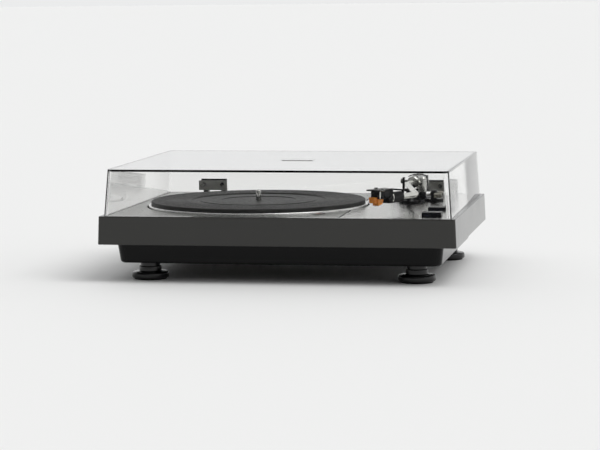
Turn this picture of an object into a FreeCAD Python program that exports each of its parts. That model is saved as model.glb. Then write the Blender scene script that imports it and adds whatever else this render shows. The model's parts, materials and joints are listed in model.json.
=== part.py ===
"""Direct-drive record player with a hinged clear cover, as separate solids in millimetres.

The origin is on the floor under the middle of the whole object. +X is to the right and +Z is up,
and the front faces -Y.
"""
import FreeCAD
import Part
import math
import os
import Sketcher

from FreeCAD import Placement, Rotation, Vector

os.makedirs("parts", exist_ok=True)
doc = FreeCAD.newDocument("record_player")

# ---------------------------------------------------------------- driving dimensions
DIMENSIONS = {
    # casing
    "plinth_width": 455.0,
    "plinth_front": -186.0,
    "plinth_back": 176.6,
    "plinth_side_draft": 1.5,
    "plinth_back_draft": 1.2,
    "plinth_low": 48.7,
    "deck_level": 85.0,
    "plinth_wall": 4.0,
    "panel_thick": 1.5,
    "panel_inset": 9.5,
    "tub_width": 420.2,
    "tub_front": -168.3,
    "tub_back": 167.0,
    "tub_low": 23.1,
    "tub_wall": 3.0,
    "groove_x": 80.4,
    # platter group
    "platter_x": -54.0,
    "platter_y": -15.0,
    "well_radius": 148.6,
    "platter_radius": 146.7,
    "platter_top": 87.2,
    "platter_rim_top": 87.6,
    "platter_low": 70.0,
    "mat_radius": 143.0,
    "mat_top": 92.9,
    "spindle_radius": 3.6,
    "spindle_top": 105.7,
    "shaft_radius": 4.0,
    "shaft_top": 91.5,
    "running_gap": 0.03,
    "strobe_turn": -48.46,
    # dust cover
    "cover_side": 222.5,
    "cover_front": -181.6,
    "cover_back": 171.5,
    "cover_top_side": 218.4,
    "cover_top_front": -175.9,
    "cover_top_back": 169.3,
    "cover_top": 143.8,
    "cover_wall": 3.0,
    # hinges
    "hinge_centre": 157.0,
    "hinge_axis_y": 180.0,
    "hinge_axis_z": 92.0,
    "hinge_screw_offset": 13.5,
    "cover_screw_z": 96.5,
    "block_screw_z": 63.0,
    # connectors
    "socket_z": 64.5,
    "phono_left_x": -35.0,
    "phono_right_x": -15.0,
    "ground_x": 8.0,
    # feet
    "foot_front_x": 173.1,
    "foot_front_y": -134.3,
    "foot_back_x": 182.0,
    "foot_back_y": 117.0,
    "foot_radius": 23.8,
    # keys
    "key_width": 24.5,
    "key_depth": 20.0,
    "key_gap": 0.5,
    "key_front_x": 194.2,
    "key_front_y": -144.5,
    "key_front_top": 90.4,
    "key_back_x": 193.2,
    "key_back_y": -66.5,
    "key_back_top": 89.4,
    # tonearm
    "pivot_x": 143.0,
    "pivot_y": 99.0,
    "pivot_z": 108.5,
    "arm_turn": -5.0,
    "arm_slope": 0.8,
    "elbow_x": 38.6,
    "elbow_y": -174.0,
    "offset_turn": -30.0,
    "stylus_run": 77.3,
    "first_bend_y": -50.0,
    "tube_radius": 3.7,
    "barrel_radius": 8.1,
    "dial_x": 14.6,
    "dial_y": -21.6,
    "cue_stem_turn": -20.0,
}

sheet = doc.addObject("Spreadsheet::Sheet", "dims")
for row, (alias, value) in enumerate(DIMENSIONS.items(), start=1):
    sheet.set("A%d" % row, alias)
    sheet.set("B%d" % row, str(value))
    sheet.setAlias("B%d" % row, alias)
doc.recompute()

nodes = []


def size(alias):
    """The value of a driving dimension."""
    return float(getattr(sheet, alias))


def keep(item, label):
    """Make a document object a sub-part: its label names its file."""
    item.Label = label
    nodes.append(item)
    return item


def bind(item, path, value):
    """Set a property from a number, or from an expression over the sheet."""
    if isinstance(value, str):
        item.setExpression(path, value)
    else:
        item.setExpression(path, repr(float(value)))


def place(item, at):
    """Bind the three coordinates of an object's base point."""
    for axis, value in zip("xyz", at):
        bind(item, "Placement.Base." + axis, value)


# ---------------------------------------------------------------- primitives and booleans
def box(low, high):
    """A box from its lowest to its highest corner; each coordinate is a number or an expression."""
    item = doc.addObject("Part::Box", "box")
    place(item, low)
    for name, start, end in zip(("Length", "Width", "Height"), low, high):
        bind(item, name, "(%s) - (%s)" % (end, start))
    return item


def rod(radius, start, length, along="z"):
    """A cylinder along one axis of the frame, from its start point."""
    item = doc.addObject("Part::Cylinder", "rod")
    turn = {"x": Rotation(Vector(0, 1, 0), 90), "y": Rotation(Vector(1, 0, 0), -90), "z": Rotation()}
    item.Placement = Placement(Vector(), turn[along])
    bind(item, "Radius", radius)
    bind(item, "Height", length)
    place(item, start)
    return item


def cut(base, *tools):
    """The base with every tool taken away."""
    item = doc.addObject("Part::Cut", "cut")
    item.Base = base
    item.Tool = tools[0] if len(tools) == 1 else fuse(*tools)
    return item


def fuse(*pieces):
    """Several overlapping or touching pieces as one solid."""
    item = doc.addObject("Part::MultiFuse", "fuse")
    item.Shapes = list(pieces)
    item.Refine = True
    return item


def group(*pieces):
    """Separate solids that share one node."""
    item = doc.addObject("Part::Compound", "group")
    item.Links = list(pieces)
    return item


# ---------------------------------------------------------------- turned bodies and drafted blocks
def origin_plane(body, role):
    """One of a body's own origin planes."""
    return next(plane for plane in body.Origin.OriginFeatures if plane.Role == role)


def outline_sketch(body, name, plane, points, offset=0.0):
    """A closed outline of straight runs; every corner is fixed by expressions."""
    sketch = body.newObject("Sketcher::SketchObject", name)
    sketch.AttachmentSupport = [(origin_plane(body, plane), "")]
    sketch.MapMode = "FlatFace"
    bind(sketch, "AttachmentOffset.Base.z", offset)
    values = [(sheet_value(across), sheet_value(up)) for across, up in points]
    corners = [Vector(across, up, 0) for across, up in values]
    count = len(corners)
    for index in range(count):
        sketch.addGeometry(Part.LineSegment(corners[index], corners[(index + 1) % count]), False)
    for index in range(count):
        sketch.addConstraint(Sketcher.Constraint("Coincident", index, 2, (index + 1) % count, 1))
    for index, (across, up) in enumerate(points):
        wanted = (("DistanceX", across, values[index][0]), ("DistanceY", up, values[index][1]))
        for kind, value, number in wanted:
            line = sketch.addConstraint(Sketcher.Constraint(kind, -1, 1, index, 1, number))
            if isinstance(value, str):
                sketch.setExpression("Constraints[%d]" % line, value)
    return sketch


def sheet_value(value):
    """The number that an expression over the sheet gives."""
    if isinstance(value, str):
        names = {alias: size(alias) for alias in DIMENSIONS}
        text = value.replace("dims.", "")
        probe = doc.getObject("probe") or doc.addObject("App::FeaturePython", "probe")
        if not hasattr(probe, "answer"):
            probe.addProperty("App::PropertyFloat", "answer")
        if text in names:
            return names[text]
        probe.setExpression("answer", value)
        probe.recompute()
        return float(probe.answer)
    return float(value)


def turned(profile, at=(0, 0, 0)):
    """A body turned about its own z axis from an outline of (radius, height) points."""
    body = doc.addObject("PartDesign::Body", "turned")
    sketch = outline_sketch(body, "profile", "XZ_Plane", profile)
    doc.recompute()
    turn = body.newObject("PartDesign::Revolution", "turn")
    turn.Profile = sketch
    turn.ReferenceAxis = (sketch, ["V_Axis"])
    turn.Angle = 360.0
    doc.recompute()
    place(body, at)
    return body


def rectangle(left, right, front, back):
    """The corners of a rectangle, in order."""
    return [(left, front), (right, front), (right, back), (left, back)]


def tapered(low_outline, low, high_outline, high, upright=0.0, top=0.0, bottom=0.0):
    """A block with drafted sides between two rectangles, its upright, top and bottom edges rounded."""
    item = doc.addObject("Part::Wedge", "tapered")
    item.Placement = Placement(Vector(), Rotation(Vector(1, 0, 0), 90))
    (low_left, low_front), _, (low_right, low_back), _ = low_outline
    (high_left, high_front), _, (high_right, high_back), _ = high_outline
    bind(item, "Ymax", high)
    bind(item, "Ymin", low)
    across = {"Xmax": low_right, "Xmin": low_left, "X2max": high_right, "X2min": high_left}
    for name, value in across.items():
        bind(item, name, value)
    along = {"Zmax": low_front, "Zmin": low_back, "Z2max": high_front, "Z2min": high_back}
    for name, value in along.items():
        bind(item, name, "-(%s)" % value)
    doc.recompute()
    for radius, wanted in ((upright, "upright"), (top, "top"), (bottom, "bottom")):
        if radius > 0:
            kinds = edge_kinds(item.Shape, sheet_value(low), sheet_value(high))
            rounding = doc.addObject("Part::Fillet", "round_" + wanted)
            rounding.Base = item
            rounding.Edges = [(number, radius, radius) for number, kind in kinds if kind == wanted]
            doc.recompute()
            item = rounding
    return item


def edge_kinds(shape, low_level, high_level):
    """Each edge's number and whether it is upright, at the top or at the bottom."""
    kinds = []
    for number, edge in enumerate(shape.Edges, start=1):
        lowest = edge.BoundBox.ZMin
        highest = edge.BoundBox.ZMax
        if highest - lowest > 0.8 * (high_level - low_level):
            kinds.append((number, "upright"))
        elif lowest > high_level - 0.01:
            kinds.append((number, "top"))
        elif highest < low_level + 0.01:
            kinds.append((number, "bottom"))
    return kinds


def solid(shape, placement=None):
    """A feature with a shape of its own, for what neither sketches nor primitives make."""
    item = doc.addObject("Part::Feature", "solid")
    item.Shape = shape
    if placement is not None:
        item.Placement = placement
    return item


# ---------------------------------------------------------------- plinth and deck
HALF = "dims.plinth_width / 2"
PANEL_FLOOR = "dims.deck_level - dims.panel_thick"
WELL = ("dims.platter_x", "dims.platter_y")


def well_cut(radius, low, high):
    """A round cutter on the platter's axis."""
    return rod(radius, WELL + (low,), "(%s) - (%s)" % (high, low))


def key_hole(name, low, high, grow):
    """A square cutter around one control key."""
    half_width = "(dims.key_width / 2 + %s)" % grow
    half_depth = "(dims.key_depth / 2 + %s)" % grow
    x, y = "dims.key_%s_x" % name, "dims.key_%s_y" % name
    return box((x + " - " + half_width, y + " - " + half_depth, low),
               (x + " + " + half_width, y + " + " + half_depth, high))


def arm_hole(radius, low, high):
    """A round cutter on the tonearm's swing axis."""
    return rod(radius, ("dims.pivot_x", "dims.pivot_y", low), "(%s) - (%s)" % (high, low))


def strobe_notch(low, high, grow):
    """A block at the well's edge, square to the platter's radius: the strobe window or its notch."""
    block = box((149.4 - grow, -7 - grow, low), (157.0 + grow, 7 + grow, high))
    notch = doc.addObject("Part::Compound", "notch")
    notch.Links = [block]
    notch.Placement = Placement(Vector(size("platter_x"), size("platter_y"), 0),
                                Rotation(Vector(0, 0, 1), size("strobe_turn")))
    return notch


def hinge_screw_places():
    """Where the hinge screws stand across the player, a pair at each hinge."""
    return [side * size("hinge_centre") + offset * size("hinge_screw_offset")
            for side in (-1, 1) for offset in (-1, 1)]


def make_plinth():
    """The moulded frame: drafted walls and a top wall with a raised rim, open below."""
    outer = tapered(
        rectangle("-%s - dims.plinth_side_draft" % HALF, HALF + " + dims.plinth_side_draft",
                  "dims.plinth_front", "dims.plinth_back"), "dims.plinth_low",
        rectangle("-" + HALF, HALF, "dims.plinth_front", "dims.plinth_back - dims.plinth_back_draft"),
        "dims.deck_level", upright=3.0, top=1.2, bottom=1.0)
    cavity = box(("-%s + dims.plinth_wall" % HALF, "dims.plinth_front + dims.plinth_wall", 40),
                 (HALF + " - dims.plinth_wall", "dims.plinth_back - 2 * dims.plinth_wall", 79.5))
    recess = box(("-%s + dims.panel_inset" % HALF, "dims.plinth_front + dims.panel_inset", PANEL_FLOOR),
                 (HALF + " - dims.panel_inset", 160, 95))
    tools = [cavity, recess, well_cut(152.6, 70, 95), arm_hole(14.0, 70, 95),
             key_hole("front", 70, 95, "dims.key_gap"), key_hole("back", 70, 95, "dims.key_gap"),
             strobe_notch(79.0, 90.0, 0.3), box((-50, 172.6, 54.6), (128, 190, 74.4)),
             box((-46, 160, 56.0), (124, 190, 73.0))]
    tools += [rod(1.5, (x, 170, "dims.block_screw_z"), 10, "y") for x in hinge_screw_places()]
    keep(cut(outer, *tools), "plinth")


def make_deck():
    """Two brushed panels in the plinth's recess, parted by a thin groove."""
    front = "dims.plinth_front + dims.panel_inset + 0.3"
    left = box(("-%s + dims.panel_inset + 0.3" % HALF, front, PANEL_FLOOR),
               ("dims.groove_x - 0.4", 159.7, "dims.deck_level"))
    keep(cut(left, well_cut("dims.well_radius", 70, 95), strobe_notch(79.0, 90.0, 0.3)),
         "deck_panel_left")
    right = box(("dims.groove_x + 0.4", front, PANEL_FLOOR),
                (HALF + " - dims.panel_inset - 0.3", 159.7, "dims.deck_level"))
    keep(cut(right, well_cut("dims.well_radius", 70, 95), arm_hole(13.0, 70, 95),
             key_hole("front", 70, 95, "dims.key_gap"), key_hole("back", 70, 95, "dims.key_gap")),
         "deck_panel_right")
    keep(strobe_notch(79.2, 85.6, 0.0), "strobe_window")


def make_well():
    """The round tray that the platter turns in, with its flange under the plinth's top wall."""
    ring = cut(well_cut(152.2, 62, PANEL_FLOOR), well_cut("dims.well_radius", 65, 95))
    flange = cut(well_cut(161.0, 76.5, 79.5), well_cut(150.0, 70, 95))
    tray = cut(fuse(ring, flange), well_cut(8.3, 55, 70), strobe_notch(70.0, 95.0, 0.3))
    keep(tray, "platter_well")


def make_tub():
    """The lower tub: tapered walls, a flange that closes the plinth from below, vents and foot holes."""
    half = "dims.tub_width / 2"
    outer = tapered(rectangle("-%s + 3.1" % half, half + " - 3.1", "dims.tub_front + 4.8",
                              "dims.tub_back - 4.8"), "dims.tub_low",
                    rectangle("-" + half, half, "dims.tub_front", "dims.tub_back"), "dims.plinth_low",
                    upright=12.0, bottom=4.0)
    side_fit = "dims.plinth_width / 2 - dims.plinth_wall - 0.2"
    flange = box(("-(%s)" % side_fit, "dims.plinth_front + dims.plinth_wall + 0.2", "dims.plinth_low"),
                 (side_fit, "dims.plinth_back - 2 * dims.plinth_wall - 0.2", "dims.plinth_low + 3"))
    inner = box(("-%s + 3.1 + 4" % half, "dims.tub_front + 9", "dims.tub_low + dims.tub_wall"),
                (half + " - 3.1 - 4", "dims.tub_back - 9", 60))
    vents = [box((-170 + 9 * index, 60, 20), (-166 + 9 * index, 120, 30)) for index in range(7)]
    screw_holes = [rod(2.0, (x, y, 20), 10) for x, y in foot_places()]
    keep(cut(fuse(outer, flange), inner, *(vents + screw_holes)), "chassis_tub")


def foot_places():
    """The four feet: front left, front right, back left, back right."""
    return [(side * size("foot_%s_x" % row), size("foot_%s_y" % row)) for row in ("front", "back")
            for side in (-1, 1)]


def make_feet():
    """Stepped isolator feet: a moulded shell, a rubber pad under it and a screw from inside."""
    shells = []
    pads = []
    screws = []
    for x, y in foot_places():
        shells.append(turned([(0, 1.5), (21.5, 1.5), ("dims.foot_radius", 2.5), ("dims.foot_radius", 8.0),
                              (22.6, 9.6), (15.0, 10.4), (14.2, 11.2), (14.2, 17.0), (12.6, 17.6),
                              (12.6, "dims.tub_low"), (2.0, "dims.tub_low"), (2.0, 6.0), (0, 6.0)],
                             (x, y, 0)))
        pads.append(turned([(0, 0), (20.2, 0), (20.8, 0.5), (20.8, 1.5), (0, 1.5)], (x, y, 0)))
        screws.append(turned([(0, 6.0), (2.0, 6.0), (2.0, 26.1), (4.0, 26.1), (4.0, 28.6), (0, 28.6)],
                             (x, y, 0)))
    keep(group(*shells), "feet")
    keep(group(*pads), "foot_pads")
    keep(group(*screws), "foot_screws")


# ---------------------------------------------------------------- platter and its motor
def make_platter():
    """The cast platter, its rubber mat, the spindle and the magnet ring under it."""
    top = "dims.platter_top"
    rim = "dims.platter_radius"
    shaft = "dims.shaft_radius"
    keep(turned([(shaft, 72.0), (12.0, 72.0), (12.0, 82.2), (138.0, 82.2), (138.0, "dims.platter_low"),
                 (rim + " - 1.0", "dims.platter_low"), (rim, "dims.platter_low + 1.0"),
                 (rim, "dims.platter_rim_top - 0.8"), (rim + " - 0.8", "dims.platter_rim_top"),
                 ("dims.mat_radius + 0.6", "dims.platter_rim_top"), ("dims.mat_radius + 0.3", top),
                 (shaft, top)], WELL + (0,)), "platter")
    keep(turned([(4.3, top), ("dims.mat_radius - 0.4", top), ("dims.mat_radius", top + " + 0.4"),
                 ("dims.mat_radius", "dims.mat_top - 1.0"), ("dims.mat_radius - 1.0", "dims.mat_top"),
                 (90.4, "dims.mat_top"), (89.0, "dims.mat_top - 1.4"), (78.2, "dims.mat_top - 1.4"),
                 (77.0, "dims.mat_top - 0.4"), (50.0, "dims.mat_top - 0.4"), (49.2, "dims.mat_top - 1.3"),
                 (4.3, "dims.mat_top - 1.3")], WELL + (0,)), "platter_mat")
    keep(turned([(0, 44.05), (shaft, 44.05), (shaft, "dims.shaft_top"),
                 ("dims.spindle_radius", "dims.shaft_top"),
                 ("dims.spindle_radius", "dims.spindle_top - 2.4"),
                 ("dims.spindle_radius - 0.8", "dims.spindle_top - 1.0"), (1.6, "dims.spindle_top - 0.2"),
                 (0, "dims.spindle_top")], WELL + (0,)), "spindle")
    keep(turned([(40, 70.5), (50, 70.5), (50, 82.2), (40, 82.2)], WELL + (0,)), "rotor_magnet")


def make_motor():
    """The bearing, its thrust pad, the motor board and the ring of coils inside the magnet."""
    bore = "dims.shaft_radius + dims.running_gap"
    keep(turned([(0, 39), (8, 39), (8, 59), (18, 59), (18, 62), (8, 62), (8, 71), (bore, 71), (bore, 42),
                 (0, 42)], WELL + (0,)), "spindle_bearing")
    keep(turned([(0, 42), (3.5, 42), (3.5, 44), (0, 44)], WELL + (0,)), "thrust_pad")
    keep(turned([(10, 65), (44, 65), (44, 66.6), (10, 66.6)], WELL + (0,)), "motor_board")
    coils = []
    coil_count = 9
    coil_ring = 29.0
    for index in range(coil_count):
        angle = 2 * math.pi * index / coil_count
        x = size("platter_x") + coil_ring * math.cos(angle)
        y = size("platter_y") + coil_ring * math.sin(angle)
        coils.append(turned([(1.5, 66.6), (7.5, 66.6), (7.5, 74.6), (1.5, 74.6)], (x, y, 0)))
    keep(group(*coils), "stator_coils")


def make_electronics():
    """Transformer, power board, control board with two key switches, and the strobe lamp."""
    windows = [box((x, 56, 34), (x + 8, 124, 52)) for x in (-159, -129)]
    keep(cut(box((-168, 66, 29.1), (-112, 114, 57)), *windows), "transformer_core")
    legs = [box((x, 60, 34.2), (x + 7.6, 120, 51.8)) for x in (-158.8, -128.8)]
    ends = [box((-158.8, y, 34.2), (-121.2, y + 6, 51.8)) for y in (60, 114)]
    keep(fuse(*legs, *ends), "transformer_winding")
    board_face = 32.6
    keep(box((-30, 60, 31), (90, 140, board_face)), "power_board")
    large_cans = [rod(6, (x, 84, board_face), 20) for x in (-14, 2, 18)]
    small_cans = [rod(4, (x, 120, board_face), 12) for x in (40, 54)]
    keep(group(*large_cans, *small_cans), "board_capacitors")
    control_face = 69.6
    keep(box((176, -160, 68), (212, -50, control_face)), "control_board")
    switches = []
    for name in ("front", "back"):
        x, y = size("key_%s_x" % name), size("key_%s_y" % name)
        housing = box((x - 6, y - 6, control_face), (x + 6, y + 6, 71.4))
        switches.append(fuse(housing, rod(2, (x, y, 71.4), 0.95)))
    keep(group(*switches), "key_switches")
    power_posts = [rod(3, (x, y, 26.1), 4.9) for x in (-24, 84) for y in (66, 134)]
    control_posts = [rod(3, (x, y, control_face), 9.9) for x in (180, 208) for y in (-125, -90)]
    keep(group(*power_posts, *control_posts), "board_standoffs")
    keep(rod(2.5, (46.8, -129.2, 70), 7), "strobe_lamp")


def make_back_panel():
    """The rear connector panel with two phono sockets, a ground terminal and a mains inlet."""
    panel = box((-50, 172.6, 54.6), (128, 175.2, 74.4))
    level = "dims.socket_z"
    phono_places = ("dims.phono_left_x", "dims.phono_right_x")
    holes = [rod(4.2, (x, 165, level), 20, "y") for x in phono_places]
    holes.append(rod(2.1, ("dims.ground_x", 165, level), 20, "y"))
    holes.append(box((104, 165, 57.5), (124, 190, 71.5)))
    keep(cut(panel, *holes), "back_panel")
    sockets = []
    for x in phono_places:
        outside = fuse(rod(4.15, (x, 166.0, level), 20.0, "y"), rod(6.0, (x, 175.2, level), 1.6, "y"))
        sockets.append(cut(outside, rod(1.7, (x, 177.8, level), 12, "y")))
    keep(group(*sockets), "phono_sockets")
    thread = rod(2.0, ("dims.ground_x", 166, level), 9.2, "y")
    nut = rod(4.5, ("dims.ground_x", 175.2, level), 4.0, "y")
    thread_end = rod(2.0, ("dims.ground_x", 179.2, level), 3.0, "y")
    keep(fuse(thread, nut, thread_end), "ground_terminal")
    housing = cut(box((104.2, 160.0, 57.7), (123.8, 177.0, 71.3)),
                  box((106.4, 163.0, 59.6), (121.6, 180.0, 69.4)))
    pins = [rod(1.1, (x, 162.0, level), 11, "y") for x in (109.2, 118.8)]
    keep(fuse(housing, *pins), "mains_inlet")


# ---------------------------------------------------------------- dust cover and hinges
def cover_screw_holes():
    """Cutters through the cover, the hinge plates and the hinge leaves."""
    return [rod(1.6, (x, 150, "dims.cover_screw_z"), 40, "y") for x in hinge_screw_places()]


def make_cover():
    """The clear cover: five thin walls with drafted sides, open below, and a blank badge."""
    side, wall = "dims.cover_side", "dims.cover_wall"
    outer = tapered(rectangle("-" + side, side, "dims.cover_front", "dims.cover_back"), "dims.deck_level",
                    rectangle("-dims.cover_top_side", "dims.cover_top_side", "dims.cover_top_front",
                              "dims.cover_top_back"), "dims.cover_top", upright=7.0, top=2.5)
    inner = tapered(rectangle("-%s + %s" % (side, wall), "%s - %s" % (side, wall),
                              "dims.cover_front + " + wall, "dims.cover_back - " + wall),
                    "dims.deck_level - 0.01",
                    rectangle("-dims.cover_top_side + " + wall, "dims.cover_top_side - " + wall,
                              "dims.cover_top_front + " + wall, "dims.cover_top_back - " + wall),
                    "dims.cover_top - " + wall, upright=4.5, top=2.0)
    tools = [inner]
    tools += cover_screw_holes()
    tools.append(box((-300, -300, 80), (300, 300, 85.2)))
    keep(cut(outer, *tools), "dust_cover")
    keep(box((-23, -12, "dims.cover_top"), (19, 3, "dims.cover_top + 0.6")), "cover_badge")


def make_hinges():
    """On each side: a steel plate inside the cover, a leaf behind it, a block on the plinth and a pin."""
    plates = []
    leaves = []
    blocks = []
    for sign in (-1, 1):
        x = sign * size("hinge_centre")
        plates.append(cut(box((x - 20.5, 164.0, 88.5), (x + 20.5, 166.0, 102.0)), *cover_screw_holes()))
        leaf = fuse(box((x - 18.5, 171.7, 88.0), (x + 18.5, 174.6, 104.0)),
                    box((x - 9.0, 173.0, 89.0), (x + 9.0, "dims.hinge_axis_y", 95.0)),
                    rod(4.5, (x - 9.0, "dims.hinge_axis_y", "dims.hinge_axis_z"), 18.0, "x"))
        pin_hole = rod("2.0 + dims.running_gap", (x - 30, "dims.hinge_axis_y", "dims.hinge_axis_z"), 60, "x")
        leaves.append(cut(leaf, pin_hole, *cover_screw_holes()))
        ears = [fuse(box((x + start, 176.9, 66), (x + start + 7, 185.6, "dims.hinge_axis_z")),
                     rod(4.3, (x + start, "dims.hinge_axis_y + 1.0", "dims.hinge_axis_z"), 7, "x"))
                for start in (-16.5, 9.5)]
        base = box((x - 19.5, 176.9, 56), (x + 19.5, 182.0, 84.0))
        pin_seat = rod(2.0, (x - 30, "dims.hinge_axis_y", "dims.hinge_axis_z"), 60, "x")
        screw_holes = [rod(1.5, (place_x, 170, "dims.block_screw_z"), 30, "y")
                       for place_x in hinge_screw_places()]
        blocks.append(cut(fuse(base, *ears), pin_seat, *screw_holes))
    keep(group(*plates), "hinge_plates")
    keep(group(*leaves), "hinge_leaves")
    keep(group(*blocks), "hinge_blocks")
    pins = [rod(2.0, (sign * size("hinge_centre") - 16.5, "dims.hinge_axis_y", "dims.hinge_axis_z"), 33, "x")
            for sign in (-1, 1)]
    keep(group(*pins), "hinge_pins")
    cover_screws = []
    block_screws = []
    for x in hinge_screw_places():
        cover_screws.append(fuse(rod(3.0, (x, 162.4, "dims.cover_screw_z"), 1.6, "y"),
                                 rod(1.6, (x, 164.0, "dims.cover_screw_z"), 10.6, "y")))
        block_screws.append(fuse(rod(2.8, (x, 182.0, "dims.block_screw_z"), 1.6, "y"),
                                 rod(1.5, (x, 173.0, "dims.block_screw_z"), 9.0, "y")))
    keep(group(*cover_screws), "cover_screws")
    keep(group(*block_screws), "hinge_screws")


# ---------------------------------------------------------------- control keys
def make_keys():
    """Two flat keys, each with a flange that stops it under the plinth's top wall."""
    for name, label in (("front", "start_key"), ("back", "speed_key")):
        x, y = "dims.key_%s_x" % name, "dims.key_%s_y" % name
        top = key_hole(name, 79.0, "dims.key_%s_top" % name, "0")
        flange = key_hole(name, 76.6, 79.2, "2.0")
        stem = rod(2.5, (x, y, 74.4), 3.0)
        keep(fuse(top, flange, stem), label)


# ---------------------------------------------------------------- tonearm
def arm_frame():
    """The arm's own frame: at the pivot, with -y along the arm."""
    turn = Rotation(Vector(0, 0, 1), size("arm_turn")) * Rotation(Vector(1, 0, 0), size("arm_slope"))
    return Placement(Vector(size("pivot_x"), size("pivot_y"), size("pivot_z")), turn)


def shell_frame():
    """The headshell's frame: at the elbow, with -y along the straight run to the stylus."""
    at_elbow = Placement(Vector(size("elbow_x"), size("elbow_y"), 0),
                         Rotation(Vector(0, 0, 1), size("offset_turn")))
    return arm_frame() * at_elbow


def swing_frame():
    """An upright frame at the pivot, turned with the arm but not sloped."""
    return Placement(Vector(size("pivot_x"), size("pivot_y"), size("pivot_z")),
                     Rotation(Vector(0, 0, 1), size("arm_turn")))


def local_box(low, high):
    """A box shape from corner to corner, in a local frame."""
    lowest = Vector(*low)
    return Part.makeBox(high[0] - low[0], high[1] - low[1], high[2] - low[2], lowest)


def local_rod(radius, start, end):
    """A round bar between two points, in a local frame."""
    first = Vector(*start)
    run = Vector(*end) - first
    return Part.makeCylinder(radius, run.Length, first, run)


def bent_tube(radius, points, bend):
    """A round tube along straight runs joined by arcs that touch them."""
    corners = [Vector(*point) for point in points]
    edges = []
    start = corners[0]
    for before, corner, after in zip(corners, corners[1:], corners[2:]):
        inward = (before - corner).normalize()
        outward = (after - corner).normalize()
        half_turn = (math.pi - inward.getAngle(outward)) / 2
        reach = bend * math.tan(half_turn)
        first = corner + inward * reach
        last = corner + outward * reach
        middle_way = (inward + outward).normalize()
        middle = corner + middle_way * (bend / math.cos(half_turn) - bend)
        edges.append(Part.LineSegment(start, first).toShape())
        edges.append(Part.Arc(first, middle, last).toShape())
        start = last
    edges.append(Part.LineSegment(start, corners[-1]).toShape())
    path = Part.Wire(edges)
    section = Part.Wire([Part.Circle(corners[0], corners[1] - corners[0], radius).toShape()])
    return path.makePipeShell([section], True, True)


def make_arm_base():
    """What stands on the deck: base plate, pillar, rest, cue cylinder, lever housing and dial post."""
    level = "dims.deck_level"
    dial_at = swing_frame().multVec(Vector(size("dial_x"), size("dial_y"), 0))
    plate = fuse(arm_hole(34.0, level, 88.5), rod(5.0, (dial_at.x, dial_at.y, 85), 10.0),
                 box((129, 32, level), (163, 80, 88.5)), rod(17.0, (146, 32, level), 3.5),
                 box((123, 52, level), (160, 82, 88.5)), box((160, 49, level), (176, 69, 88.5)),
                 rod(10.0, (176, 59, level), 3.5))
    keep(cut(plate, arm_hole(13.0, 70, 95)), "arm_base")
    pillar = cut(fuse(arm_hole(13.0, 66, 92.0), arm_hole(18.0, 88.5, 90.5), arm_hole(18.0, 74.5, 79.5)),
                 arm_hole("4.0 + dims.running_gap", 60, 100))
    keep(pillar, "arm_pillar")
    keep(make_rest(), "arm_rest")
    cue = cue_stem_at() + Vector(size("pivot_x"), size("pivot_y"), 0)
    keep(cut(rod(5.5, (cue.x, cue.y, 88.5), 6.5), rod("2.0 + dims.running_gap", (cue.x, cue.y, 86), 20)),
         "cue_cylinder")
    lever_block = fuse(box((170, 50, 88.5), (178, 62, 95.5)), rod(4.5, (170, 56, 95.5), 8, "x"))
    keep(cut(lever_block, rod("1.5 + dims.running_gap", (160, 56, 95.5), 30, "x")), "lever_block")
    dial = turned([(0, 95.2), (5.0, 95.2), (5.65, 95.8), (5.65, 113.8), (4.4, 116.0), (0, 116.0)],
                  (dial_at.x, dial_at.y, 0))
    keep(dial, "antiskate_dial")


def make_rest():
    """The arm rest: a post with a saddle across the tube, open above and towards the platter."""
    start = Vector(0, size("first_bend_y"), 0)
    run = Vector(size("elbow_x"), size("elbow_y"), 0) - start
    under = arm_frame().multVec(start + run * 0.105)
    across = math.degrees(math.atan2(run.x, -run.y)) + size("arm_turn")
    floor = under.z - size("tube_radius") - 0.4
    saddle = local_box((-6, -3, floor - 3.4), (7.6, 3, floor))
    stop = local_box((4.4, -3, floor - 3.4), (7.6, 3, floor + 5.5))
    post = local_rod(3.2, (0, 0, 88.5), (0, 0, floor - 2.0))
    at_tube = Placement(Vector(under.x, under.y, 0), Rotation(Vector(0, 0, 1), across))
    return solid(saddle.fuse([stop, post]).removeSplitter(), at_tube)


def cue_stem_at():
    """Where the cue bar's stem stands, from the pivot: in the middle of the bar's radius."""
    turn = math.radians(size("cue_stem_turn"))
    return Vector(38 * math.sin(turn), -38 * math.cos(turn), 0)


def make_cue():
    """The cue lever at the right, and the curved bar that it raises under the tube."""
    hub = rod(1.5, (168.4, 56, 95.5), 18.0, "x")
    arm = fuse(rod(3.0, (178.6, 56, 95.5), 7.4, "x"), box((180.5, 20, 94.7), (183.5, 56, 96.3)))
    tip = rod(3.2, (178.2, 18, 96.3), 10.0, "x")
    keep(fuse(hub, arm, tip), "cue_lever")
    bar = Part.makeCylinder(39.5, 2.0, Vector(), Vector(0, 0, 1), 56).cut(
        Part.makeCylinder(36.5, 2.0, Vector(), Vector(0, 0, 1), 56))
    stem_at = cue_stem_at()
    stem = local_rod(2.0, stem_at + Vector(0, 0, -18.5), stem_at + Vector(0, 0, -8.0))
    bar.Placement = Placement(Vector(0, 0, -10.0), Rotation(Vector(0, 0, 1), -90 - 51))
    at_pivot = Placement(Vector(size("pivot_x"), size("pivot_y"), size("pivot_z")), Rotation())
    keep(solid(bar.fuse(stem), at_pivot), "cue_lift")


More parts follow.
